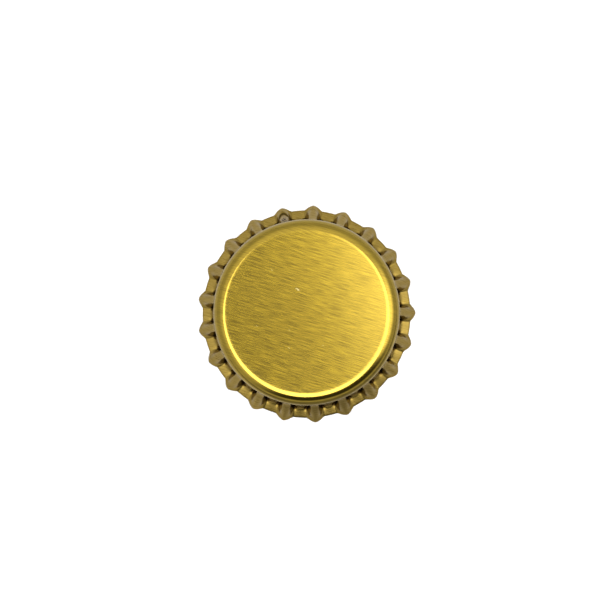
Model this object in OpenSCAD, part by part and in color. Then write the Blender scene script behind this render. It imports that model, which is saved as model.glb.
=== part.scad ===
// A pressed metal bottle cap that has not been fitted yet. One round blank of
// lacquered sheet is drawn into a shallow cup and its skirt is fluted, and a
// soft sealing liner is moulded inside. The cap stands on its cut edge, with
// the axis on Z, the flat panel on top and one flute pointing along +Y.

/* [Shell] */
// Diameter over the tips of the flutes
flute_d = 32.1; // [31:0.1:39]
// Inside diameter of the wall just under the shoulder
inside_d = 26.75; // [22:0.05:27.5]
// Height from the lowest cut edge to the top of the panel
cap_h = 6; // [5:0.1:9]
// Thickness of the sheet
sheet_t = 0.235; // [0.18:0.005:0.3]
// Outside radius of the shoulder between the panel and the wall
shoulder_r = 1.75; // [1.2:0.05:2.2]
// Height of the plain wall between the shoulder and the flutes
wall_h = 0.2; // [0.15:0.05:0.5]

/* [Flutes] */
// Number of flutes round the skirt
flutes = 21; // [18:1:24]
// Depth of the scallops that the flutes leave in the cut edge
scallop_depth = 0.72; // [0.4:0.02:1.2]
// Height of a flute's tip above the lowest cut edge
tip_lift = 0.42; // [0.2:0.02:0.8]
// Width of a flute where it leaves the wall
neck_w = 1.5; // [1.2:0.05:1.9]
// Width of a flute at the cut edge
foot_w = 2.65; // [2.3:0.05:3.2]
// Slope of a flute's crest at its tip, from the vertical
crest_slope = 34; // [25:1:45]
// Slope of the valleys at the cut edge, from the vertical
valley_slope = 66; // [30:1:75]
// How far a valley's middle stands out past the pockets beside the flutes
valley_bulge = 0.1; // [0:0.02:0.4]

/* [Dented flute] */
// Flute that is dented, counted anticlockwise from +Y, or -1 for none
dented_flute = 1; // [-1:1:20]
// Depth of the dent in that flute's crest
dent_depth = 0.28; // [0:0.02:0.4]
// Width of the dent
dent_w = 1.3; // [0.8:0.1:1.6]

/* [Sealing liner] */
// Gap between the liner's edge and the wall
liner_side_gap = 0.6; // [0.3:0.05:1.2]
// Width of the thick sealing ring, in from the liner's edge
ring_w = 3.1; // [2:0.1:6]
// Thickness of the sealing ring
ring_t = 0.9; // [0.7:0.05:1.4]
// Thickness of the thin web inside the ring
web_t = 0.28; // [0.2:0.02:0.5]
// Width of the slope from the web down to the ring's face
ring_ramp = 0.6; // [0.3:0.1:1]
// Radius of the ring's outer lower edge
ring_edge_r = 0.3; // [0.1:0.05:0.5]

/* [Hidden] */
$fn = 96;

inside_r = inside_d / 2;
outside_r = inside_r + sheet_t;
panel_r = outside_r - shoulder_r;
panel_under = cap_h - sheet_t;
corner_z = cap_h - shoulder_r;
wall_z = corner_z - wall_h;

pitch = 360 / flutes;
tip_r = flute_d / 2;
rim_r = tip_r - scallop_depth;
// The sheet's thickness is cut square, so the inner corner of the valleys' edge is the lowest
rim_z = sheet_t * sin(valley_slope);
// Share of the way down the skirt over which the narrow neck opens into the wide foot
neck_end = 0.36;
foot_start = 0.7;
// Shares of the skirt's height over which a crest and a pocket leave the wall
// upright, and over which each runs straight to the cut edge
crest_upright = 0.14;
crest_straight = 0.4;
pocket_upright = 0.6;
pocket_straight = 0.3;
// Share of a flute's width that its flat crest takes, at the neck and at the cut edge
crest_share_neck = 0.56;
crest_share_foot = 0.3;
// How far a flute's section has turned from steep sided to a roof at the cut edge
roof_share = 0.85;
// Middle and reach of the dent, as shares of the way down the flute
dent_middle = 0.42;
dent_reach = 0.2;
// The skirt's root runs up inside the wall, this far and this much inside its two faces
lap_h = 0.1;
lap_inset = 0.01;
// Rows down the skirt, and how far they crowd to where the flutes leave the wall
skirt_rows = 9;
row_crowding = 0.35;
// Place of the station between a crest's middle and its edge, as a share of its half angle
crest_station = 0.55;
// Step in share of the way down, and in degrees, over which the sheet's slope is taken
slope_step = 0.01;

liner_r = inside_r - liner_side_gap;
ring_inner_r = liner_r - ring_w;
ring_z = panel_under - ring_t;

function mix(a, b, t) = a + (b - a) * t;
function ease(x, lo, hi) =
    let (t = min(1, max(0, (x - lo) / (hi - lo)))) t * t * (3 - 2 * t);
function bezier(p, t) =
    pow(1 - t, 3) * p[0] + 3 * t * pow(1 - t, 2) * p[1]
    + 3 * t * t * (1 - t) * p[2] + pow(t, 3) * p[3];
function width_angle(w, r) = asin(w / 2 / r);

// Lines down the skirt as [radius, height]: a crest, a pocket beside it, and a valley's middle
skirt_top = [outside_r, wall_z];
crest_line = [
    skirt_top,
    skirt_top - [0, wall_z * crest_upright],
    [tip_r, tip_lift] + wall_z * crest_straight * [-sin(crest_slope), cos(crest_slope)],
    [tip_r, tip_lift]
];
pocket_line = [
    skirt_top,
    skirt_top - [0, wall_z * pocket_upright],
    [rim_r, rim_z] + wall_z * pocket_straight * [-sin(valley_slope), cos(valley_slope)],
    [rim_r, rim_z]
];

// Half the angle a flute covers at its foot, and the half angle of its flat crest
function foot_angle(s) = mix(
    width_angle(neck_w, outside_r), width_angle(foot_w, rim_r), ease(s, neck_end, foot_start));
function crest_angle(s) =
    foot_angle(s) * mix(crest_share_neck, crest_share_foot, ease(s, neck_end, 1));

// Height of a flute across its width, 1 on the crest and 0 in the valley: steep
// sided at the neck, and opening into a roof with a rounded ridge at the cut edge
function flute_shape(phi, s) =
    let (
        x = abs(phi),
        steep = ease(foot_angle(s) - x, 0, foot_angle(s) - crest_angle(s)),
        roof = max(0, 1 - x / foot_angle(s))
    )
    mix(steep, roof, roof_share * ease(s, neck_end, 1));

// The valley's middle stands proud of the pockets, until they run out at the cut edge
function bulge(phi, s) =
    valley_bulge * 4 * s * (1 - s) * ease(abs(phi), foot_angle(s), pitch / 2);

function dent(phi, s, k) =
    k != dented_flute ? 0
    : dent_depth * exp(
        -pow(phi / width_angle(dent_w, outside_r), 2) - pow((s - dent_middle) / dent_reach, 2));

// A point of the skirt's outer face, phi degrees from the crest of flute k
function outer_point(phi, s, k) =
    let (
        valley = bezier(pocket_line, s) + [bulge(phi, s), 0],
        rz = mix(valley, bezier(crest_line, s), flute_shape(phi, s)) - [dent(phi, s, k), 0],
        a = 90 + k * pitch + phi
    )
    [rz[0] * cos(a), rz[0] * sin(a), rz[1]];

// The same point moved inwards through the sheet
function inner_point(phi, s, k) =
    let (
        s0 = max(0, s - slope_step),
        s1 = min(1, s + slope_step),
        across = outer_point(phi + slope_step, s, k) - outer_point(phi - slope_step, s, k),
        down = outer_point(phi, s1, k) - outer_point(phi, s0, k),
        normal = cross(down, across)
    )
    outer_point(phi, s, k) - sheet_t * normal / norm(normal);

// Angles across one flute and the valley after it, closest together on the flanks
function stations(s) =
    let (
        c = crest_angle(s),
        f = foot_angle(s),
        half = [0, c * crest_station, c, (c + f) / 2, f, (f + pitch / 2) / 2, pitch / 2]
    )
    concat(half, [for (i = [5:-1:1]) -half[i]]);
per_flute = len(stations(0));
columns = flutes * per_flute;

function lap_ring(r, z) = [
    for (k = [0:flutes - 1], i = [0:per_flute - 1])
        let (a = 90 + k * pitch + stations(0)[i] + (i > per_flute / 2 ? pitch : 0))
        [r * cos(a), r * sin(a), z]
];
function row_s(i) = mix(i / skirt_rows, pow(i / skirt_rows, 2), row_crowding);
// A negative station belongs to the next flute, so that the columns run round in order
function skirt_ring(s, inner) = [
    for (k = [0:flutes - 1], i = [0:per_flute - 1])
        let (
            phi = stations(s)[i],
            flute = phi < 0 ? (k + 1) % flutes : k
        )
        inner ? inner_point(phi, s, flute) : outer_point(phi, s, flute)
];

module skirt() {
    rings = concat(
        [lap_ring(inside_r + lap_inset, wall_z + lap_h)],
        [lap_ring(outside_r - lap_inset, wall_z + lap_h)],
        [lap_ring(outside_r - lap_inset, wall_z)],
        [for (i = [1:skirt_rows]) skirt_ring(row_s(i), false)],
        [for (i = [skirt_rows:-1:1]) skirt_ring(row_s(i), true)],
        [lap_ring(inside_r + lap_inset, wall_z)]
    );
    polyhedron(
        points = [for (ring = rings) each ring],
        faces = [
            for (j = [0:len(rings) - 1], i = [0:columns - 1])
                let (
                    next_i = (i + 1) % columns,
                    next_j = (j + 1) % len(rings),
                    a = j * columns + i,
                    b = j * columns + next_i,
                    c = next_j * columns + next_i,
                    d = next_j * columns + i
                )
                each [[a, b, c], [a, c, d]]
        ]
    );
}

// Half section of the drawn cup: the flat panel, the shoulder and the plain wall
module cup_section() {
    translate([0, panel_under]) square([panel_r, sheet_t]);
    translate([panel_r, corner_z])
        intersection() {
            difference() {
                circle(shoulder_r);
                circle(shoulder_r - sheet_t);
            }
            square(shoulder_r);
        }
    translate([inside_r, wall_z]) square([sheet_t, wall_h]);
}

// Half section of the room inside the cup
module cup_room() {
    square([panel_r, panel_under]);
    square([inside_r, corner_z]);
    translate([panel_r, corner_z]) circle(shoulder_r - sheet_t);
}

module cap_shell() {
    color("goldenrod") {
        rotate_extrude() cup_section();
        skirt();
    }
}

module sealing_liner() {
    color("whitesmoke")
        rotate_extrude()
            intersection() {
                cup_room();
                union() {
                    translate([0, panel_under - web_t]) square([liner_r, web_t]);
                    polygon([
                        [ring_inner_r, panel_under - web_t],
                        [ring_inner_r + ring_ramp, ring_z],
                        [liner_r - ring_edge_r, ring_z],
                        [liner_r - ring_edge_r, panel_under - web_t]
                    ]);
                    translate([liner_r - ring_edge_r, ring_z + ring_edge_r]) circle(ring_edge_r);
                    translate([liner_r - ring_edge_r, ring_z + ring_edge_r])
                        square([ring_edge_r, ring_t - ring_edge_r]);
                }
            }
}

cap_shell();
sealing_liner();
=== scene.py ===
import math
import bmesh
import bpy
from mathutils import Matrix, Vector


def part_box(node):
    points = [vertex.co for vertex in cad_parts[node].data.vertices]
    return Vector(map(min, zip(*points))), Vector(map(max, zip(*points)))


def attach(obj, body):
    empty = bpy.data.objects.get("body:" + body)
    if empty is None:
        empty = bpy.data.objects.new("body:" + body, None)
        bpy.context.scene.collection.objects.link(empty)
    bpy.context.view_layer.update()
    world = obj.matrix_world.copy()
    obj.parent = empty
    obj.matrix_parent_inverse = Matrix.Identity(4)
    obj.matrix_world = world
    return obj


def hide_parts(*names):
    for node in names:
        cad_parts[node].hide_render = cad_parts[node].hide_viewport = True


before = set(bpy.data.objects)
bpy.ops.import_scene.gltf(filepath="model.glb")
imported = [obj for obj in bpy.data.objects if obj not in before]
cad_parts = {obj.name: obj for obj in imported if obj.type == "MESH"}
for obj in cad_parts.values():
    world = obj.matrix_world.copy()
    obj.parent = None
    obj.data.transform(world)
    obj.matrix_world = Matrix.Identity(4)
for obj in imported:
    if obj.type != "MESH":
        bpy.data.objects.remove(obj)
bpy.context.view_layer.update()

# ---- Pressed shell: the blank -------------------------------------------------------
# The shell is one round blank of thin tinplate, lacquered gold while it is still flat.
# Its middle stays flat as the panel. One flute's share of it is drawn here, from the
# panel out to the cut edge, and the others are copied round from that.
MM = 0.001
_, shell_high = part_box("cap_shell")
CAP_HEIGHT = shell_high.z
TIP_RADIUS = shell_high.y
SHEET = 0.235 * MM
SHOULDER_RADIUS = 1.75 * MM
WALL_RADIUS = 13.375 * MM + SHEET
PANEL_RADIUS = WALL_RADIUS - SHOULDER_RADIUS
CENTRE_RADIUS = 0.8 * MM
FLUTES = 21
PITCH = 2 * math.pi / FLUTES
STATIONS = 13  # lines down each half of a flute's share, from its crest to mid-valley
STEP = PITCH / (2 * STATIONS)
ALL_STATIONS = range(-STATIONS, STATIONS + 1)


def mix(a, b, share):
    return a + (b - a) * share


def ease(x, low, high):
    t = min(1.0, max(0.0, (x - low) / (high - low)))
    return t * t * (3 - 2 * t)


def deselect_all():
    if bpy.context.object and bpy.context.object.mode == "EDIT":
        bpy.ops.object.mode_set(mode="OBJECT")
    bpy.ops.object.select_all(action="DESELECT")


def pick(mesh, test):
    """Selects the vertices of the mesh being edited for which test(vertex) is true."""
    bm = bmesh.from_edit_mesh(mesh)
    for v in bm.verts:
        v.select = test(v)
    bm.select_flush_mode()
    bmesh.update_edit_mesh(mesh)


def pick_numbered(mesh, ring_number, stations):
    """Selects the vertices of one ring that lie on the given stations."""
    bm = bmesh.from_edit_mesh(mesh)
    ring_layer = bm.verts.layers.int["ring"]
    station_layer = bm.verts.layers.int["station"]
    for v in bm.verts:
        v.select = v[ring_layer] == ring_number and v[station_layer] in stations
    bm.select_flush_mode()
    bmesh.update_edit_mesh(mesh)


def scale_by(factor):
    bpy.ops.transform.resize(value=(factor, factor, 1), center_override=(0, 0, 0))


def turn_by(angle):
    bpy.ops.transform.rotate(value=-angle, orient_axis="Z", center_override=(0, 0, 0))


ring = 0


def draw_ring(factor, drop):
    """Draws the outermost ring on to a new one, scaled about the axis and lowered."""
    global ring
    pick_numbered(shell.data, ring, ALL_STATIONS)
    bpy.ops.mesh.extrude_edges_move()
    ring += 1
    bm = bmesh.from_edit_mesh(shell.data)
    ring_layer = bm.verts.layers.int["ring"]
    for v in bm.verts:
        if v.select:
            v[ring_layer] = ring
    bmesh.update_edit_mesh(shell.data)
    scale_by(factor)
    bpy.ops.transform.translate(value=(0, 0, -drop))


deselect_all()
bpy.ops.mesh.primitive_circle_add(
    vertices=FLUTES * 2 * STATIONS, radius=CENTRE_RADIUS, location=(0, 0, CAP_HEIGHT))
shell = bpy.context.object
shell.name = "pressed_shell"
bpy.ops.object.transform_apply(location=True, rotation=True, scale=True)
bpy.ops.object.mode_set(mode="EDIT")
bpy.ops.mesh.select_mode(type="VERT")
pick(shell.data, lambda v: abs(math.atan2(v.co.x, v.co.y)) > PITCH / 2 + STEP / 2)
bpy.ops.mesh.delete(type="VERT")

bm = bmesh.from_edit_mesh(shell.data)
bm.verts.layers.int.new("ring")
station_layer = bm.verts.layers.int.new("station")
for v in bm.verts:
    v[station_layer] = round(-math.atan2(v.co.x, v.co.y) / STEP)
bmesh.update_edit_mesh(shell.data)

NECK_WIDTH = 1.5 * MM
FOOT_WIDTH = 2.65 * MM
SCALLOP = 0.72 * MM
RIM_RADIUS = TIP_RADIUS - SCALLOP
NECK_END = 0.36  # shares of the way down the skirt between which a neck opens into a foot
FOOT_START = 0.7
CREST_SHARE_NECK = 0.66  # share of a flute's width that its flat crest takes
CREST_SHARE_FOOT = 0.34
CREST_NARROWS = 0.3  # share of the way down at which the crest starts to narrow


def foot_angle(s):
    """Half the angle that a flute covers, s of the way down the skirt."""
    neck = math.asin(NECK_WIDTH / 2 / WALL_RADIUS)
    foot = math.asin(FOOT_WIDTH / 2 / RIM_RADIUS)
    return mix(neck, foot, ease(s, NECK_END, FOOT_START))


def crest_angle(s):
    """Half the angle that a flute's flat crest covers."""
    share = mix(CREST_SHARE_NECK, CREST_SHARE_FOOT, ease(s, CREST_NARROWS, 1))
    return foot_angle(s) * share


def station_angle(station, s):
    """The lines down the skirt: 0 to 3 on a flute's crest, 8 at its foot and 13 in mid-valley."""
    crest, foot, valley = crest_angle(s), foot_angle(s), PITCH / 2
    lines = [0, crest * 0.35, crest * 0.68, crest * 0.94]
    lines += [mix(crest, foot, share) for share in (0.16, 0.36, 0.58, 0.8, 1)]
    lines += [mix(foot, valley, share) for share in (0.14, 0.32, 0.54, 0.77, 1)]
    return math.copysign(lines[abs(station)], station)


# the lines that will become crests and flanks stand closer together than the rest
angles = {}
for station in ALL_STATIONS:
    angles[station] = station_angle(station, 0)
    pick_numbered(shell.data, 0, [station])
    turn_by(angles[station] - station * STEP)

# blank_radius holds how far out on the flat blank each ring was
radius = CENTRE_RADIUS
blank_radius = [radius]
for next_radius in (3 * MM, 6 * MM, 8.5 * MM, 10.4 * MM, 11.5 * MM, PANEL_RADIUS):
    draw_ring(next_radius / radius, 0)
    radius = next_radius
    blank_radius.append(radius)

# ---- Pressed shell: the shoulder and the wall ----------------------------------------
# The punch draws the blank over a round die edge, which leaves a rounded shoulder. A very
# short plain wall follows it.
WALL_HEIGHT = 0.2 * MM
SHOULDER_STEPS = 12
WALL_END = CAP_HEIGHT - SHOULDER_RADIUS - WALL_HEIGHT

height = CAP_HEIGHT
for step in range(1, SHOULDER_STEPS + 1):
    tilt = math.pi / 2 * step / SHOULDER_STEPS
    next_radius = PANEL_RADIUS + SHOULDER_RADIUS * math.sin(tilt)
    next_height = CAP_HEIGHT - SHOULDER_RADIUS * (1 - math.cos(tilt))
    draw_ring(next_radius / radius, height - next_height)
    radius, height = next_radius, next_height
    blank_radius.append(PANEL_RADIUS + SHOULDER_RADIUS * tilt)
draw_ring(1, height - WALL_END)
height = WALL_END
blank_radius.append(blank_radius[-1] + WALL_HEIGHT)

# ---- Pressed shell: the fluted skirt ---------------------------------------------------
# In the same stroke the rest of the blank is folded down against a toothed die. Each flute
# leaves the wall as a narrow neck with a pocket on either side and opens towards the cut
# edge. The valleys between them hang steeply and flare out at the edge.
CREST_SLOPE = math.radians(34)
VALLEY_SLOPE = math.radians(70)
TIP_LIFT = 0.42 * MM
VALLEY_LEAN = math.radians(3)
VALLEY_BEND = 0.5 * MM
VALLEY_BULGE = 0.1 * MM
POCKET_DEPTH = 0.3 * MM
POCKET_ONSET = 0.1  # share of the way down over which the pockets deepen
POCKET_FADE = 0.66  # shares of the way down between which they run out
POCKET_END = 0.82
TIP_FLAT = 1.12  # how bluntly a flute's section is rounded at its tip
ROOF_SHARE = 0.75  # how far the section has turned from steep sided to a roof at the cut edge
ROOF_START = 0.35
RIM_LIFT = SHEET * math.sin(VALLEY_SLOPE) + 0.03 * MM
SKIRT_ROWS = 22
ROW_CROWDING = 0.25  # how far the rows crowd to where the flutes leave the wall
LEAST_TURN = 1e-6


def bezier(points, t):
    weights = ((1 - t) ** 3, 3 * t * (1 - t) ** 2, 3 * t * t * (1 - t), t ** 3)
    return Vector((sum(w * p[0] for w, p in zip(weights, points)),
                   sum(w * p[1] for w, p in zip(weights, points))))


# a crest leaves the wall upright and slopes at its tip
CREST_UPRIGHT_END = WALL_END * 0.86
CREST_STRAIGHT = WALL_END * 0.4
crest_line = (
    (WALL_RADIUS, WALL_END),
    (WALL_RADIUS, CREST_UPRIGHT_END),
    (TIP_RADIUS - CREST_STRAIGHT * math.sin(CREST_SLOPE),
     TIP_LIFT + CREST_STRAIGHT * math.cos(CREST_SLOPE)),
    (TIP_RADIUS, TIP_LIFT))


def along(slope, length):
    """A step of the given length down a slope measured from the vertical."""
    return Vector((math.sin(slope), -math.cos(slope))) * length


# a valley hangs down the wall, turns in a tight bend and runs out almost flat
BEND_START = 0.5  # shares of the way down at which the bend starts and ends
BEND_END = 0.74


def bend_place(slope):
    """Where the bend is when it has turned to a slope, seen from its centre."""
    return Vector((-math.cos(slope), -math.sin(slope))) * VALLEY_BEND


bend_span = bend_place(VALLEY_SLOPE) - bend_place(VALLEY_LEAN)
left_over = Vector((RIM_RADIUS, RIM_LIFT)) - Vector((WALL_RADIUS, WALL_END)) - bend_span
turned_sine = math.sin(VALLEY_SLOPE - VALLEY_LEAN)
hang_length = -left_over.y * math.sin(VALLEY_SLOPE) - left_over.x * math.cos(VALLEY_SLOPE)
hang_length /= turned_sine
flare_length = left_over.x * math.cos(VALLEY_LEAN) + left_over.y * math.sin(VALLEY_LEAN)
flare_length /= turned_sine


def valley_line(s):
    """Radius and height of a valley, s of the way down the skirt."""
    hang = along(VALLEY_LEAN, hang_length * min(1.0, s / BEND_START))
    in_bend = min(1.0, max(0.0, (s - BEND_START) / (BEND_END - BEND_START)))
    bend = bend_place(mix(VALLEY_LEAN, VALLEY_SLOPE, in_bend)) - bend_place(VALLEY_LEAN)
    flare = along(VALLEY_SLOPE, flare_length * max(0.0, (s - BEND_END) / (1 - BEND_END)))
    return Vector((WALL_RADIUS, WALL_END)) + hang + bend + flare


def pocket(station, s):
    """How far into the pocket beside a flute's neck a point is, from 0 to 1."""
    angle, foot, valley = abs(station_angle(station, s)), foot_angle(s), PITCH / 2
    past_flank = ease(angle, foot * 0.75, foot)
    out_in_valley = ease(angle, mix(foot, valley, 0.16), mix(foot, valley, 0.5))
    return past_flank * (1 - out_in_valley) * (1 - ease(s, POCKET_FADE, POCKET_END))


def skirt_place(station, s):
    """Radius and height of a station, s of the way down the skirt."""
    angle = abs(station_angle(station, s))
    foot, crest = foot_angle(s), crest_angle(s)
    steep = ease(foot - angle, 0, foot - crest)
    roof = min(1.0, max(0.0, TIP_FLAT * (1 - angle / foot)))
    rise = mix(steep, roof, ROOF_SHARE * ease(s, ROOF_START, 1))
    bulge = VALLEY_BULGE * 4 * s * (1 - s) * ease(angle, foot, PITCH / 2)
    bulge -= POCKET_DEPTH * ease(s, 0, POCKET_ONSET) * pocket(station, s)
    valley = valley_line(s) + Vector((bulge, 0))
    return valley.lerp(bezier(crest_line, s), rise)


places = {station: Vector((radius, height)) for station in range(STATIONS + 1)}
pocket_shade_marks = {}
for row in range(1, SKIRT_ROWS + 1):
    s = mix(row / SKIRT_ROWS, (row / SKIRT_ROWS) ** 2, ROW_CROWDING)
    draw_ring(1, 0)
    blank_radius.append(blank_radius[-1] + (skirt_place(0, s) - places[0]).length)
    for station in range(STATIONS + 1):
        now = skirt_place(station, s)
        pick_numbered(shell.data, ring, [station, -station])
        scale_by(now[0] / places[station][0])
        bpy.ops.transform.translate(value=(0, 0, now[1] - places[station][1]))
        places[station] = now
        pocket_shade_marks[ring, station] = pocket(station, s)
    for station in ALL_STATIONS:
        angle = station_angle(station, s)
        if abs(angle - angles[station]) > LEAST_TURN:
            pick_numbered(shell.data, ring, [station])
            turn_by(angle - angles[station])
        angles[station] = angle

# the other flutes are copied round, and the middle of the panel is closed
bpy.ops.mesh.select_all(action="SELECT")
bpy.ops.mesh.spin(
    steps=FLUTES - 1, angle=PITCH * (FLUTES - 1), dupli=True, center=(0, 0, 0), axis=(0, 0, 1))
bpy.ops.mesh.select_all(action="SELECT")
bpy.ops.mesh.remove_doubles(threshold=0.002 * MM)
pick_numbered(shell.data, 0, ALL_STATIONS)
bpy.ops.mesh.extrude_edges_move()
bpy.ops.mesh.merge(type="CENTER")
bpy.ops.mesh.select_all(action="SELECT")
bpy.ops.mesh.normals_make_consistent(inside=False)

# ---- Pressed shell: the dented flute -----------------------------------------------------
# One flute was struck as the caps were tumbled together. Its crest is pushed in from the
# shoulder down to an arched crease, and stands up again a little inside the arch.
DENTED = 1  # counted anticlockwise from +Y
DENT_ANGLE = math.pi / 2 + DENTED * PITCH
DENT_RADIUS = 15.35 * MM  # where the arch's top lies
DENT_HALF_WIDTH = 1.3 * MM
DENT_TOP = WALL_END - 0.3 * MM  # nothing above this is pushed in
ARCH_POWER = 1.7  # 2 would make the arch a parabola, and more would make it squarer
dent_out = Vector((math.cos(DENT_ANGLE), math.sin(DENT_ANGLE), 0))
dent_along = Vector((-math.sin(DENT_ANGLE), math.cos(DENT_ANGLE), 0))


def in_arch(v, share):
    """Whether a vertex lies on the dented flute under the arch, drawn in to the given share."""
    across = v.co.dot(dent_along) / (DENT_HALF_WIDTH * share)
    if abs(across) >= 1 or v.co.z > DENT_TOP:
        return False
    top = mix(WALL_RADIUS, DENT_RADIUS, share)
    return 0 < v.co.dot(dent_out) < mix(WALL_RADIUS, top, 1 - abs(across) ** ARCH_POWER)


# each smaller arch is pushed in by its own depth in millimetres, or stands up again
dent_push = -(dent_out * 0.8 + Vector((0, 0, 0.6)))
arch_mark = {}
for share, depth in ((1, 0.1), (0.9, 0.14), (0.8, 0.06), (0.62, -0.07), (0.42, -0.05)):
    pick(shell.data, lambda v, share=share: in_arch(v, share))
    for v in bmesh.from_edit_mesh(shell.data).verts:
        if v.select:
            arch_mark[v.index] = share
    bpy.ops.transform.translate(value=dent_push * depth * MM)
bpy.ops.object.mode_set(mode="OBJECT")

# two marks that the finish follows: the pockets beside the necks, where shade is painted, and the bruise in
# the dent
shell.data.attributes.new("pocket", "FLOAT", "POINT")
shell.data.attributes.new("bruise", "FLOAT", "POINT")
pocket_shade_mark = shell.data.attributes["pocket"].data
bruise_mark = shell.data.attributes["bruise"].data
ring_numbers = shell.data.attributes["ring"].data
station_numbers = shell.data.attributes["station"].data
for number in range(len(shell.data.vertices)):
    place = (ring_numbers[number].value, abs(station_numbers[number].value))
    pocket_shade_mark[number].value = pocket_shade_marks.get(place, 0)
    bruise_mark[number].value = 1.1 - arch_mark[number] if number in arch_mark else 0

# each point keeps its place on the flat blank, in millimetres, with U along the rolled grain
GRAIN_ANGLE = math.radians(-13.5)
blank_map = shell.data.uv_layers.new(name="blank")
ring_numbers = shell.data.attributes["ring"].data
for loop in shell.data.loops:
    spot = shell.data.vertices[loop.vertex_index].co
    if spot.xy.length < CENTRE_RADIUS / 2:
        blank_map.data[loop.index].uv = (0, 0)
        continue
    angle = math.atan2(spot.y, spot.x) - GRAIN_ANGLE
    out = blank_radius[ring_numbers[loop.vertex_index].value] / MM
    blank_map.data[loop.index].uv = (out * math.cos(angle), out * math.sin(angle))

# ---- Pressed shell: the sheet's thickness and cut edge ------------------------------------
# The sheet lies inside the face drawn above. The blanking die left its edge square and
# bare of lacquer, and the inner face carries a duller lacquer of its own.
gold = bpy.data.materials.new("gold_lacquer")
inner_gold = bpy.data.materials.new("inner_lacquer")
raw_edge = bpy.data.materials.new("raw_cut_edge")
for finish in (gold, inner_gold, raw_edge):
    shell.data.materials.append(finish)
thickness = shell.modifiers.new("sheet", "SOLIDIFY")
thickness.thickness = SHEET
thickness.offset = -1
thickness.use_even_offset = True
thickness.use_quality_normals = True
thickness.material_offset = 1
thickness.material_offset_rim = 2
bpy.ops.object.modifier_apply(modifier=thickness.name)
burr = shell.modifiers.new("edge", "BEVEL")
burr.width = 0.03 * MM
burr.segments = 2
burr.limit_method = "ANGLE"
burr.angle_limit = math.radians(65)
bpy.ops.object.modifier_apply(modifier=burr.name)
bpy.ops.object.shade_smooth()
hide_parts("cap_shell")
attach(shell, "root")

# ---- Sealing liner --------------------------------------------------------------------------
# A soft plastic compound, dropped into the cup and moulded there by a stamp: a thin web, and
# a thick ring round it that a bottle's lip presses into. It grips the shell as it sets.
liner_low, liner_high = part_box("sealing_liner")
LINER_RADIUS = liner_high.x
RING_FACE = liner_low.z
CLEAR_OF_SHELL = 0.004 * MM
LINER_TOP = liner_high.z - CLEAR_OF_SHELL
WEB_FACE = liner_high.z - 0.28 * MM
RING_INNER = LINER_RADIUS - 3.1 * MM
RAMP_END = RING_INNER + 0.6 * MM
EDGE_ROUND = 0.3 * MM
STAMP_RELIEF = 0.05 * MM  # height and depth of the rings that the stamp leaves
GATE_RADIUS = 0.9 * MM
ROOM_RADIUS = SHOULDER_RADIUS - SHEET - CLEAR_OF_SHELL
ROOM_CENTRE = CAP_HEIGHT - SHOULDER_RADIUS


def stamped_ring(start, end, face, lift):
    """The section of a ring left by the stamp, with sides a tenth of a millimetre wide."""
    side = 0.1 * MM
    return [(start, face), (start + side, face + lift), (end - side, face + lift), (end, face)]


# the section's under side, from a raised gate mark out to the rounded edge
under = [(GATE_RADIUS, WEB_FACE - STAMP_RELIEF), (GATE_RADIUS + 0.15 * MM, WEB_FACE)]
under += stamped_ring(7.0 * MM, 7.5 * MM, WEB_FACE, -STAMP_RELIEF)
under.append((RING_INNER - 0.12 * MM, WEB_FACE))
under.append((RING_INNER + 0.06 * MM, WEB_FACE - 0.06 * MM))
under.append((RAMP_END - 0.08 * MM, RING_FACE + 0.07 * MM))
under.append((RAMP_END + 0.06 * MM, RING_FACE))
under += stamped_ring(11.2 * MM, 11.6 * MM, RING_FACE, STAMP_RELIEF)
ROUND_STEPS = 4
for step in range(ROUND_STEPS + 1):
    tilt = math.pi / 2 * step / ROUND_STEPS
    under.append((LINER_RADIUS - EDGE_ROUND * (1 - math.sin(tilt)),
                  RING_FACE + EDGE_ROUND * (1 - math.cos(tilt))))
# and its upper side, which follows the inside of the shoulder back to the panel
over = []
for share in (1, 0.75, 0.5, 0.25, 0):
    out = mix(PANEL_RADIUS, LINER_RADIUS, share)
    over.append((out, ROOM_CENTRE + math.sqrt(ROOM_RADIUS ** 2 - (out - PANEL_RADIUS) ** 2)))
over.append((CENTRE_RADIUS, LINER_TOP))

deselect_all()
bpy.ops.mesh.primitive_circle_add(
    vertices=160, radius=under[0][0], fill_type="NGON", location=(0, 0, under[0][1]))
liner = bpy.context.object
liner.name = "sealing_liner_moulding"
bpy.ops.object.transform_apply(location=True, rotation=True, scale=True)
bpy.ops.object.mode_set(mode="EDIT")
bpy.ops.mesh.select_mode(type="VERT")
bpy.ops.mesh.select_all(action="SELECT")
bpy.ops.mesh.inset(thickness=0.5 * MM)
pick(liner.data, lambda v: v.co.xy.length > under[0][0] - 0.1 * MM)
last = under[0]
for place in under[1:] + over:
    bpy.ops.mesh.extrude_edges_move()
    scale_by(place[0] / last[0])
    bpy.ops.transform.translate(value=(0, 0, place[1] - last[1]))
    last = place
bpy.ops.mesh.edge_face_add()
bpy.ops.mesh.select_all(action="SELECT")
bpy.ops.mesh.normals_make_consistent(inside=False)
bpy.ops.object.mode_set(mode="OBJECT")
bpy.ops.object.shade_smooth_by_angle(angle=math.radians(40))
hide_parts("sealing_liner")
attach(liner, "root")


# ---- Effects that more than one finish uses ---------------------------------------------------
# Rolling marks lie in the tinplate itself, so they show through both lacquers; small specks
# serve as scuffs on the inner lacquer and as dust on the liner.
def new_group(name, inputs, outputs):
    """A shader node group, with float or vector inputs given as name, kind and value."""
    tree = bpy.data.node_groups.new(name, "ShaderNodeTree")
    for socket, kind, value in inputs:
        made = tree.interface.new_socket(socket, in_out="INPUT", socket_type=kind)
        if value is not None:
            made.default_value = value
    for socket, kind in outputs:
        tree.interface.new_socket(socket, in_out="OUTPUT", socket_type=kind)
    return tree, tree.nodes.new("NodeGroupInput"), tree.nodes.new("NodeGroupOutput")


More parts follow.
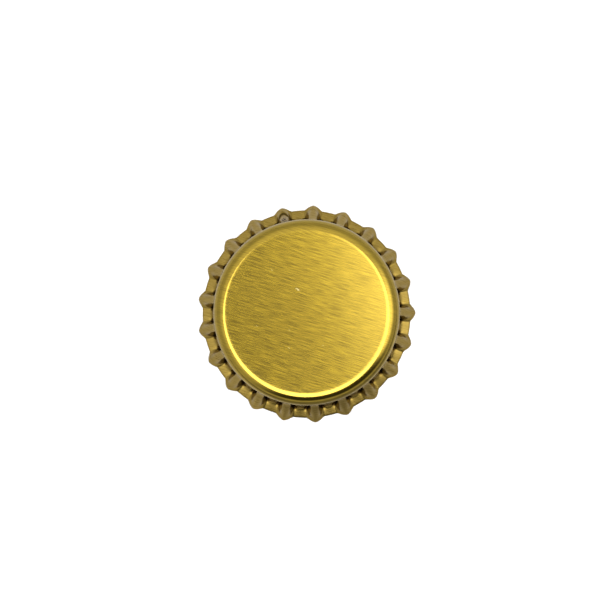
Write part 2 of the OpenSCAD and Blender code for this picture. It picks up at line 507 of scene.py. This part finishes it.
def set_or_link(tree, socket, value):
    if isinstance(value, bpy.types.NodeSocket):
        tree.links.new(value, socket)
    elif value is not None:
        socket.default_value = value


def math_node(tree, operation, first, second=None, third=None):
    """A Math node fed by sockets or plain numbers."""
    made = tree.nodes.new("ShaderNodeMath")
    made.operation = operation
    for socket, value in zip(made.inputs, (first, second, third)):
        set_or_link(tree, socket, value)
    return made.outputs[0]


def vector_node(tree, operation, first, second=None, output="Vector"):
    """A Vector Math node fed by sockets or plain vectors."""
    made = tree.nodes.new("ShaderNodeVectorMath")
    made.operation = operation
    for socket, value in zip(made.inputs, (first, second)):
        set_or_link(tree, socket, value)
    return made.outputs[output]


def map_range(tree, value, low, high, to_low=0.0, to_high=1.0):
    """A soft step: to_low below low, to_high above high."""
    made = tree.nodes.new("ShaderNodeMapRange")
    made.interpolation_type = "SMOOTHSTEP"
    tree.links.new(value, made.inputs["Value"])
    made.inputs["From Min"].default_value = low
    made.inputs["From Max"].default_value = high
    made.inputs["To Min"].default_value = to_low
    made.inputs["To Max"].default_value = to_high
    return made.outputs["Result"]


def noise(tree, vector, scale, detail=2.0, roughness=0.5, output="Fac"):
    made = tree.nodes.new("ShaderNodeTexNoise")
    made.inputs["Scale"].default_value = scale
    made.inputs["Detail"].default_value = detail
    made.inputs["Roughness"].default_value = roughness
    tree.links.new(vector, made.inputs["Vector"])
    return made.outputs[output]


def mix_colour(tree, factor, first, second):
    """A colour mix fed by sockets or plain colours."""
    made = tree.nodes.new("ShaderNodeMix")
    made.data_type = "RGBA"
    set_or_link(tree, made.inputs["Factor"], factor)
    colours = [socket for socket in made.inputs if socket.type == "RGBA"]
    set_or_link(tree, colours[0], first)
    set_or_link(tree, colours[1], second)
    return [socket for socket in made.outputs if socket.type == "RGBA"][0]


def place_group(tree, group, **values):
    """Places a node group in a material, with its own values or links."""
    made = tree.nodes.new("ShaderNodeGroup")
    made.node_tree = group
    for name, value in values.items():
        set_or_link(tree, made.inputs[name], value)
    return made


# streaks along the grain: Length and Width are those of one streak, in the vector's units
rolled_grain, grain_in, grain_out = new_group(
    "rolled_grain",
    [("Vector", "NodeSocketVector", None),
     ("Length", "NodeSocketFloat", 3.0),
     ("Width", "NodeSocketFloat", 0.2)],
    [("Streaks", "NodeSocketFloat")])
stretch = rolled_grain.nodes.new("ShaderNodeCombineXYZ")
for axis, measure in enumerate(("Length", "Width")):
    per_streak = math_node(rolled_grain, "DIVIDE", 1.0, grain_in.outputs[measure])
    rolled_grain.links.new(per_streak, stretch.inputs[axis])
grain_vector = vector_node(rolled_grain, "MULTIPLY", grain_in.outputs["Vector"], stretch.outputs[0])
rolled_grain.links.new(noise(rolled_grain, grain_vector, 1.0, 2.0, 0.5), grain_out.inputs["Streaks"])

# specks: small scattered spots, Share of the cells of the given Size holding one
specks, specks_in, specks_out = new_group(
    "specks",
    [("Vector", "NodeSocketVector", None),
     ("Size", "NodeSocketFloat", 1.0),
     ("Share", "NodeSocketFloat", 0.1)],
    [("Mask", "NodeSocketFloat")])
cells = specks.nodes.new("ShaderNodeTexVoronoi")
cells.inputs["Scale"].default_value = 1.0
per_size = specks.nodes.new("ShaderNodeVectorMath")
per_size.operation = "SCALE"
specks.links.new(specks_in.outputs["Vector"], per_size.inputs[0])
specks.links.new(math_node(specks, "DIVIDE", 1.0, specks_in.outputs["Size"]), per_size.inputs["Scale"])
specks.links.new(per_size.outputs[0], cells.inputs["Vector"])
split = specks.nodes.new("ShaderNodeSeparateColor")
specks.links.new(cells.outputs["Color"], split.inputs[0])
chosen = math_node(specks, "LESS_THAN", split.outputs[0], specks_in.outputs["Share"])
reach = math_node(specks, "MULTIPLY_ADD", split.outputs[1], 0.2, 0.08)
spot_mask = math_node(specks, "LESS_THAN", cells.outputs["Distance"], reach)
specks.links.new(math_node(specks, "MULTIPLY", chosen, spot_mask), specks_out.inputs["Mask"])

# ---- Gold lacquer -------------------------------------------------------------------------------
# A clear gold lacquer, baked on to the bright tinplate: satin, with the rolled grain showing
# through as short streaks and a few pale nicks down to the tin. Painted shade darkens the pockets,
# and a painted sheen pales the drawn skirt.
def blank_place(tree):
    """The place on the flat blank, in millimetres."""
    made = tree.nodes.new("ShaderNodeUVMap")
    made.uv_map = "blank"
    return made.outputs["UV"]


def grain_tangent(tree):
    made = tree.nodes.new("ShaderNodeTangent")
    made.direction_type = "UV_MAP"
    made.uv_map = "blank"
    return made.outputs["Tangent"]


def mark(tree, name):
    """One of the marks kept on the shell's points."""
    made = tree.nodes.new("ShaderNodeAttribute")
    made.attribute_name = name
    return made.outputs["Fac"]


def grey(level):
    return (level, level, level, 1)


# a nick: 1 inside a short scratch of Length and Width at Centre, turned by Angle
nick, nick_in, nick_out = new_group(
    "nick",
    [("Vector", "NodeSocketVector", None),
     ("Centre", "NodeSocketVector", None),
     ("Angle", "NodeSocketFloat", 0.0),
     ("Length", "NodeSocketFloat", 1.0),
     ("Width", "NodeSocketFloat", 0.2)],
    [("Mask", "NodeSocketFloat")])
shaky = noise(nick, nick_in.outputs["Vector"], 4.0, 2.0, 0.5, output="Color")
shaky = vector_node(nick, "MULTIPLY", vector_node(nick, "SUBTRACT", shaky, (0.5, 0.5, 0.5)), (0.25, 0.25, 0))
from_centre = vector_node(nick, "SUBTRACT", nick_in.outputs["Vector"], nick_in.outputs["Centre"])
from_centre = vector_node(nick, "ADD", from_centre, shaky)
turned = nick.nodes.new("ShaderNodeVectorRotate")
turned.rotation_type = "Z_AXIS"
nick.links.new(from_centre, turned.inputs["Vector"])
nick.links.new(nick_in.outputs["Angle"], turned.inputs["Angle"])
nick_size = nick.nodes.new("ShaderNodeCombineXYZ")
nick_size.inputs[2].default_value = 1.0
nick.links.new(nick_in.outputs["Length"], nick_size.inputs[0])
nick.links.new(nick_in.outputs["Width"], nick_size.inputs[1])
in_nick = vector_node(nick, "DIVIDE", turned.outputs[0], nick_size.outputs[0])
nick_distance = vector_node(nick, "LENGTH", in_nick, output="Value")
nick.links.new(map_range(nick, nick_distance, 0.38, 0.55, 1.0, 0.0), nick_out.inputs["Mask"])

gold.use_nodes = True
tree = gold.node_tree
shader = tree.nodes["Principled BSDF"]
place = blank_place(tree)
fine = place_group(tree, rolled_grain, Vector=place, Length=2.6, Width=0.11).outputs[0]
broad = place_group(tree, rolled_grain, Vector=place, Length=5.0, Width=0.5).outputs[0]
streak = math_node(tree, "MULTIPLY_ADD", fine, 0.85, math_node(tree, "MULTIPLY", broad, 0.15))
streak = map_range(tree, streak, 0.34, 0.62)
# the finish is rougher where the sheet was drawn, from the shoulder's end on, and is painted paler and less
# yellow there: a painted sheen in place of the coat's reflection of the pale floor
DRAWN_START = 14.2
DRAWN_END = 15.4
flat_colour = mix_colour(tree, streak, (0.245, 0.163, 0.008, 1), (0.34, 0.232, 0.014, 1))
drawn_sheen_colour = mix_colour(tree, streak, (0.24, 0.163, 0.03, 1), (0.31, 0.215, 0.05, 1))
out_on_blank = vector_node(tree, "LENGTH", place, output="Value")
drawn = map_range(tree, out_on_blank, DRAWN_START, DRAWN_END)
colour = mix_colour(tree, drawn, flat_colour, drawn_sheen_colour)
# painted shade: the pockets beside the necks are painted near black, though on the real cap they are only
# shaded
pocket_painted_shade = map_range(tree, mark(tree, "pocket"), 0.08, 0.45)
colour = mix_colour(tree, pocket_painted_shade, colour, (0.03, 0.015, 0.003, 1))
# the bruise in the dent: painted shade along the crease round it, rubbed pale inside and specked in the
# middle
bruise = mark(tree, "bruise")
inside_bruise = map_range(tree, bruise, 0.18, 0.32)
outside_bruise = math_node(tree, "SUBTRACT", 1.0, inside_bruise)
crease_painted_shade = math_node(tree, "MULTIPLY", map_range(tree, bruise, 0.02, 0.1), outside_bruise)
rubbed = noise(tree, place, 3.5, 3.0, 0.6)
bruise_middle = map_range(tree, bruise, 0.4, 0.6)
dark_specks = math_node(tree, "MULTIPLY", map_range(tree, rubbed, 0.46, 0.5), bruise_middle)
colour = mix_colour(tree, inside_bruise, colour, (0.34, 0.25, 0.11, 1))
colour = mix_colour(tree, dark_specks, colour, (0.03, 0.016, 0.005, 1))
colour = mix_colour(tree, crease_painted_shade, colour, (0.07, 0.045, 0.01, 1))
# the nicks, each with its place on the blank, its length and its angle
NICK_WIDTH = 0.24  # as a share of its length
scratches = 0.0
for centre, length, angle in (
        ((-2.2, 2.7, 0), 0.8, 0.3), ((-6.6, 4.3, 0), 0.4, 0.9), ((-6.3, -4.2, 0), 0.3, 0.2),
        ((-1.6, -3.3, 0), 0.35, 1.9), ((-0.9, -5.8, 0), 0.4, 0.8), ((3.7, -4.0, 0), 0.3, 0.1)):
    scratch = place_group(
        tree, nick, Vector=place, Centre=centre, Length=length, Width=length * NICK_WIDTH, Angle=angle)
    scratches = math_node(tree, "MAXIMUM", scratches, scratch.outputs[0])
colour = mix_colour(tree, math_node(tree, "MULTIPLY", scratches, 0.6), colour, (0.75, 0.62, 0.28, 1))
tree.links.new(colour, shader.inputs["Base Color"])
flat_roughness = map_range(tree, fine, 0.3, 0.7, 0.11, 0.14)
tree.links.new(math_node(tree, "MULTIPLY_ADD", drawn, 0.16, flat_roughness), shader.inputs["Roughness"])
relief = tree.nodes.new("ShaderNodeBump")
relief.inputs["Strength"].default_value = 1.0
relief.inputs["Distance"].default_value = 0.00022 * MM
grit = noise(tree, place, 6.0, 2.0, 0.5)
tree.links.new(math_node(tree, "MULTIPLY_ADD", grit, 0.5, fine), relief.inputs["Height"])
tree.links.new(relief.outputs["Normal"], shader.inputs["Normal"])
tree.links.new(grain_tangent(tree), shader.inputs["Tangent"])
shader.inputs["Metallic"].default_value = 1
shader.inputs["Anisotropic"].default_value = 0.5
# the clear coat fades out down the shoulder; on the skirt it would lay a grey film over the gold
COAT_START = 13.2
COAT_END = 14.4
coat = map_range(tree, out_on_blank, COAT_START, COAT_END, 0.5, 0.0)
tree.links.new(coat, shader.inputs["Coat Weight"])
shader.inputs["Coat Roughness"].default_value = 0.12

# ---- Inner lacquer ------------------------------------------------------------------------------
# The food side has a thinner, paler and duller lacquer over the same rolled grain, with
# small scuffs scattered on it.
inner_gold.use_nodes = True
tree = inner_gold.node_tree
shader = tree.nodes["Principled BSDF"]
place = blank_place(tree)
fine = place_group(tree, rolled_grain, Vector=place, Length=1.4, Width=0.12).outputs[0]
colour = mix_colour(tree, map_range(tree, fine, 0.3, 0.7), (0.42, 0.32, 0.14, 1), (0.58, 0.47, 0.24, 1))
scuffs = place_group(tree, specks, Vector=place, Size=0.8, Share=0.12).outputs[0]
colour = mix_colour(tree, scuffs, colour, (0.3, 0.22, 0.09, 1))
tree.links.new(colour, shader.inputs["Base Color"])
tree.links.new(map_range(tree, fine, 0.3, 0.7, 0.3, 0.42), shader.inputs["Roughness"])
tree.links.new(grain_tangent(tree), shader.inputs["Tangent"])
shader.inputs["Metallic"].default_value = 1
shader.inputs["Anisotropic"].default_value = 0.4
shader.inputs["Coat Weight"].default_value = 1
shader.inputs["Coat Roughness"].default_value = 0.3

# ---- Cut edge -----------------------------------------------------------------------------------
# Bare steel where the blank was cut out: part of the edge is sheared bright, and the rest is
# torn and dull.
raw_edge.use_nodes = True
tree = raw_edge.node_tree
shader = tree.nodes["Principled BSDF"]
place = blank_place(tree)
torn = noise(tree, place, 4.0, 3.0, 0.6)
colour = mix_colour(tree, map_range(tree, torn, 0.4, 0.62), (0.62, 0.55, 0.42, 1), (0.28, 0.24, 0.19, 1))
tree.links.new(colour, shader.inputs["Base Color"])
tree.links.new(map_range(tree, torn, 0.4, 0.62, 0.28, 0.55), shader.inputs["Roughness"])
shader.inputs["Metallic"].default_value = 1

# ---- Liner compound -------------------------------------------------------------------------------
# Off-white soft plastic, faintly cloudy. The stamp leaves fine turning marks on it, and a
# little dust sticks to it.
compound = bpy.data.materials.new("liner_compound")
liner.data.materials.append(compound)
compound.use_nodes = True
tree = compound.node_tree
shader = tree.nodes["Principled BSDF"]
coordinates = tree.nodes.new("ShaderNodeTexCoord")
in_mm = vector_node(tree, "MULTIPLY", coordinates.outputs["Object"], (1 / MM, 1 / MM, 1 / MM))
clouds = noise(tree, in_mm, 0.35, 3.0, 0.55)
colour = mix_colour(tree, map_range(tree, clouds, 0.35, 0.65), (0.74, 0.72, 0.66, 1), (0.82, 0.81, 0.77, 1))
dust = place_group(tree, specks, Vector=in_mm, Size=0.7, Share=0.08).outputs[0]
colour = mix_colour(tree, dust, colour, (0.5, 0.46, 0.38, 1))
tree.links.new(colour, shader.inputs["Base Color"])
tree.links.new(map_range(tree, clouds, 0.35, 0.65, 0.36, 0.5), shader.inputs["Roughness"])
flat = vector_node(tree, "MULTIPLY", in_mm, (1, 1, 0))
from_axis = vector_node(tree, "LENGTH", flat, output="Value")
turning = math_node(tree, "SINE", math_node(tree, "MULTIPLY", from_axis, 42.0))
relief = tree.nodes.new("ShaderNodeBump")
relief.inputs["Strength"].default_value = 0.5
relief.inputs["Distance"].default_value = 0.006 * MM
uneven = math_node(tree, "MULTIPLY_ADD", turning, 0.5, noise(tree, in_mm, 3.0))
tree.links.new(uneven, relief.inputs["Height"])
tree.links.new(relief.outputs["Normal"], shader.inputs["Normal"])
shader.inputs["Subsurface Weight"].default_value = 0.1
shader.inputs["Subsurface Radius"].default_value = (0.0006, 0.0005, 0.0004)

# ---- Floor ------------------------------------------------------------------------------------------
# A sheet of plain matt white paper under the cap. Reflections in the metal see it duller than
# the camera does, with painted shade darkening it towards the front.
deselect_all()
bpy.ops.mesh.primitive_plane_add(size=3, location=(0, 0, 0))
floor = bpy.context.object
floor.name = "floor"
paper = bpy.data.materials.new("paper")
paper.use_nodes = True
paper_shader = paper.node_tree.nodes["Principled BSDF"]
paper_shader.inputs["Base Color"].default_value = grey(0.8)
paper_shader.inputs["Roughness"].default_value = 0.9
tree = paper.node_tree
rays = tree.nodes.new("ShaderNodeLightPath")
dull_paper = tree.nodes.new("ShaderNodeBsdfDiffuse")
floor_place = tree.nodes.new("ShaderNodeTexCoord").outputs["Object"]
FRONT_ANGLE = math.radians(20)
DULL_START = 0.011  # in metres, in front of the cap's middle
DULL_END = 0.023
towards_front = Vector((math.sin(FRONT_ANGLE), -math.cos(FRONT_ANGLE), 0))
to_front = vector_node(tree, "DOT_PRODUCT", floor_place, tuple(towards_front), output="Value")
# painted shade: in front of the cap, the paper that reflections see is darkened
front_painted_shade = map_range(tree, to_front, DULL_START, DULL_END)
dull_shaded_colour = mix_colour(tree, front_painted_shade, grey(0.55), grey(0.2))
tree.links.new(dull_shaded_colour, dull_paper.inputs["Color"])
paper_mix = tree.nodes.new("ShaderNodeMixShader")
tree.links.new(rays.outputs["Is Glossy Ray"], paper_mix.inputs[0])
tree.links.new(paper_shader.outputs[0], paper_mix.inputs[1])
tree.links.new(dull_paper.outputs[0], paper_mix.inputs[2])
tree.links.new(paper_mix.outputs[0], tree.nodes["Material Output"].inputs["Surface"])
floor.data.materials.append(paper)

# ---- Camera -----------------------------------------------------------------------------------------
# Held almost straight over the cap, leaning a little towards the front and turned a little
# about its own axis.
VIEW_DISTANCE = 336 * MM
VIEW_WIDTH = 90.7 * MM
LEAN = math.radians(3.3)
ROLL = math.radians(3.7)
camera_data = bpy.data.cameras.new("camera")
camera = bpy.data.objects.new("camera", camera_data)
bpy.context.collection.objects.link(camera)
bpy.context.scene.camera = camera
camera_data.sensor_width = 36
camera_data.lens = camera_data.sensor_width * VIEW_DISTANCE / VIEW_WIDTH
picture_up = Vector((-math.sin(ROLL), math.cos(ROLL), 0))
picture_right = Vector((math.cos(ROLL), math.sin(ROLL), 0))
aim = picture_up * 1.02 * MM + picture_right * 0.06 * MM
back = Vector((0, 0, math.cos(LEAN))) - picture_up * math.sin(LEAN)
camera.location = aim + back * VIEW_DISTANCE
true_up = back.cross(picture_right)
camera.rotation_euler = Matrix((picture_right, true_up, back)).transposed().to_euler()
bpy.context.scene.view_settings.view_transform = "Standard"

# ---- Studio light -----------------------------------------------------------------------------------
# A white tent: a bright ring overhead, weaker at the back, with a dim middle, and then sides
# that fade downwards and are brighter on the right. Low down at the front it is dark.
world = bpy.data.worlds.new("studio")
bpy.context.scene.world = world
world.use_nodes = True
tree = world.node_tree
coordinates = tree.nodes.new("ShaderNodeTexCoord")
direction = coordinates.outputs["Generated"]


def cosine(degrees):
    return math.cos(math.radians(degrees))


def overhead(right_degrees, up_degrees):
    """A direction from the cap, at two small angles from the vertical."""
    return (picture_right * math.tan(math.radians(right_degrees))
            + picture_up * math.tan(math.radians(up_degrees)) + Vector((0, 0, 1))).normalized()


def lobe(centre, inner, outer):
    """1 within inner degrees of the centre's direction, fading to 0 at outer degrees."""
    near = vector_node(tree, "DOT_PRODUCT", direction, tuple(centre), output="Value")
    return map_range(tree, near, cosine(outer), cosine(inner))


def sideways(centre, low, high):
    """0 to 1 as the direction's compass bearing turns towards the centre."""
    flat_direction = vector_node(tree, "MULTIPLY", direction, (1, 1, 0))
    bearing = vector_node(tree, "NORMALIZE", flat_direction)
    near = vector_node(tree, "DOT_PRODUCT", bearing, tuple(centre), output="Value")
    return map_range(tree, near, low, high)


def times(first, second):
    return math_node(tree, "MULTIPLY", first, second)


HOLE_LIGHT = 0.43
RING_LIGHT = 7.2
TOP_LIGHT = 1.6
SIDE_LIGHT = 0.82
FADE_LIGHT = 0.7
RIGHT_FADE_LIGHT = 2.2
zenith = Vector((0, 0, 1))
inside_ring = lobe(overhead(-2, -12), 18.5, 24)
hole = times(lobe(overhead(-0.7, 2.6), 5, 7), lobe(overhead(-8.4, -2.5), 10.2, 14))
above = sideways((picture_up - picture_right * 0.12).normalized(), 0.82, 0.97)
front = sideways((picture_right * 0.29 - picture_up * 0.957).normalized(), 0.5, 0.85)
shaded = times(front, lobe(zenith, 66, 80))
fading = math_node(tree, "MULTIPLY_ADD", sideways(picture_right, 0.74, 0.98), RIGHT_FADE_LIGHT, FADE_LIGHT)
fading = times(fading, lobe(zenith, 20, 62))
side = math_node(tree, "ADD", fading, SIDE_LIGHT)
side = times(side, math_node(tree, "MULTIPLY_ADD", shaded, -0.92, 1.0))
ring_light = math_node(tree, "MULTIPLY_ADD", above, TOP_LIGHT - RING_LIGHT, RING_LIGHT)
bright = mix_colour(tree, hole, ring_light, grey(HOLE_LIGHT))
whole = mix_colour(tree, inside_ring, side, bright)
background = tree.nodes["Background"]
tree.links.new(whole, background.inputs["Color"])
background.inputs["Strength"].default_value = 1.0
